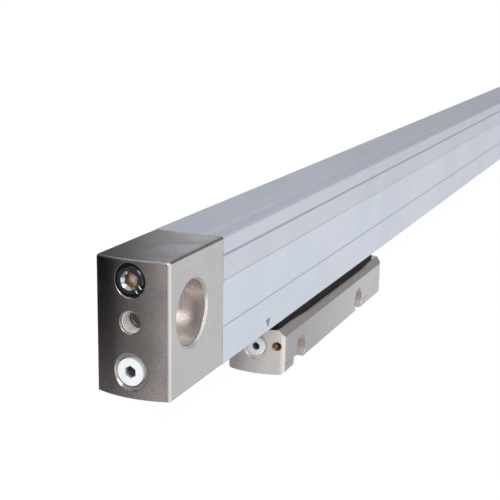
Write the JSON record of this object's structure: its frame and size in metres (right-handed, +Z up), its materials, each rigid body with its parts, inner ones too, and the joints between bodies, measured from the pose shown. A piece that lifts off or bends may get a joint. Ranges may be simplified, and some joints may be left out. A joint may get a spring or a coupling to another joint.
{
  "type": "linear glass scale",
  "caption": "Sealed linear encoder: glass scale in a slim extruded housing with bored end blocks and a scanning unit sliding beneath it.",
  "frame": {"origin": "axis of the near end block's mounting bore, in the rear mounting plane", "axes": "+X runs along the scale away from the near end block, -Y is the visible side, from which the mounting screws are put in, +Z is up, away from the scanning unit"},
  "size_m": [0.51, 0.0187, 0.0465],
  "materials": {
    "anodised_aluminium": "fine satin anodised extrusion",
    "nickel_plate": "satin nickel plating",
    "polished_steel": "polished",
    "spring_steel": "rolled",
    "white_plastic": "smooth",
    "seal_rubber": "matt",
    "gasket_fibre": "pressed fibre",
    "lip_rubber": "matt",
    "elastic_adhesive": "matt",
    "scale_glass": "clear, polished",
    "brass": "turned",
    "gold_contact": "plated",
    "circuit_board": "solder mask",
    "lead_film": "film",
    "carriage_aluminium": "black anodised",
    "clear_plastic": "clear",
    "sensor_silicon": "smooth"
  },
  "bodies": {
    "scale_unit": {"housing_profile": "anodised_aluminium", "glass_scale": "scale_glass", "scale_adhesive": "elastic_adhesive", "front_sealing_lip": "lip_rubber", "rear_sealing_lip": "lip_rubber", "near_end_block": "nickel_plate", "near_end_gasket": "gasket_fibre", "near_block_screw": "polished_steel", "near_screw_seal_ring": "seal_rubber", "near_air_plug": "white_plastic", "near_air_plug_ring": "seal_rubber", "far_end_block": "nickel_plate", "far_end_gasket": "gasket_fibre", "far_block_screw": "polished_steel", "far_screw_seal_ring": "seal_rubber", "far_air_plug": "white_plastic", "far_air_plug_ring": "seal_rubber"},
    "scanning_unit": {"unit_body": "nickel_plate", "unit_bottom_cover": "nickel_plate", "cover_screws": "polished_steel", "unit_top_seal": "seal_rubber", "unit_air_plug": "white_plastic", "thread_bush": "brass", "cable_inlet": "polished_steel", "inlet_contacts": "gold_contact", "interface_board": "circuit_board", "carrier_blade": "polished_steel", "blade_screws": "polished_steel", "flat_lead": "lead_film", "coupling_pin": "polished_steel", "coupling_spring": "spring_steel", "scanning_carriage": "carriage_aluminium", "led_board": "circuit_board", "light_emitter": "clear_plastic", "condenser_lens": "scale_glass", "scanning_reticle": "scale_glass", "photo_sensor": "sensor_silicon", "sensor_board": "circuit_board", "roller_axles": "polished_steel", "roller_hubs": "polished_steel"},
    "face_roller_near": {"face_roller_near": "polished_steel"},
    "face_roller_far": {"face_roller_far": "polished_steel"},
    "face_roller_low": {"face_roller_low": "polished_steel"},
    "edge_roller_near": {"edge_roller_near": "polished_steel"},
    "edge_roller_far": {"edge_roller_far": "polished_steel"}
  },
  "joints": [
    {"name": "unit_slide", "type": "slide", "parent": "scale_unit", "child": "scanning_unit", "axis": [1, 0, 0], "range_m": [-0.0421, 0.3279]},
    {"name": "face_roller_near_spin", "type": "hinge", "parent": "scanning_unit", "child": "face_roller_near", "pos_m": [0.0801, -0.00845, 0.0039], "axis": [0, 0, 1], "continuous": true},
    {"name": "face_roller_far_spin", "type": "hinge", "parent": "scanning_unit", "child": "face_roller_far", "pos_m": [0.1201, -0.00845, 0.0039], "axis": [0, 0, 1], "continuous": true},
    {"name": "face_roller_low_spin", "type": "hinge", "parent": "scanning_unit", "child": "face_roller_low", "pos_m": [0.1001, -0.00845, -0.0015], "axis": [0, 0, 1], "continuous": true},
    {"name": "edge_roller_near_spin", "type": "hinge", "parent": "scanning_unit", "child": "edge_roller_near", "pos_m": [0.0861, -0.0049, -0.00555], "axis": [0, 1, 0], "continuous": true},
    {"name": "edge_roller_far_spin", "type": "hinge", "parent": "scanning_unit", "child": "edge_roller_far", "pos_m": [0.1141, -0.0049, -0.00555], "axis": [0, 1, 0], "continuous": true}
  ],
  "couplings": [
    {"joint": "face_roller_near_spin", "follows": "unit_slide", "rad_per_m": 400},
    {"joint": "face_roller_far_spin", "follows": "unit_slide", "rad_per_m": 400},
    {"joint": "face_roller_low_spin", "follows": "unit_slide", "rad_per_m": 400},
    {"joint": "edge_roller_near_spin", "follows": "unit_slide", "rad_per_m": -400},
    {"joint": "edge_roller_far_spin", "follows": "unit_slide", "rad_per_m": -400}
  ]
}
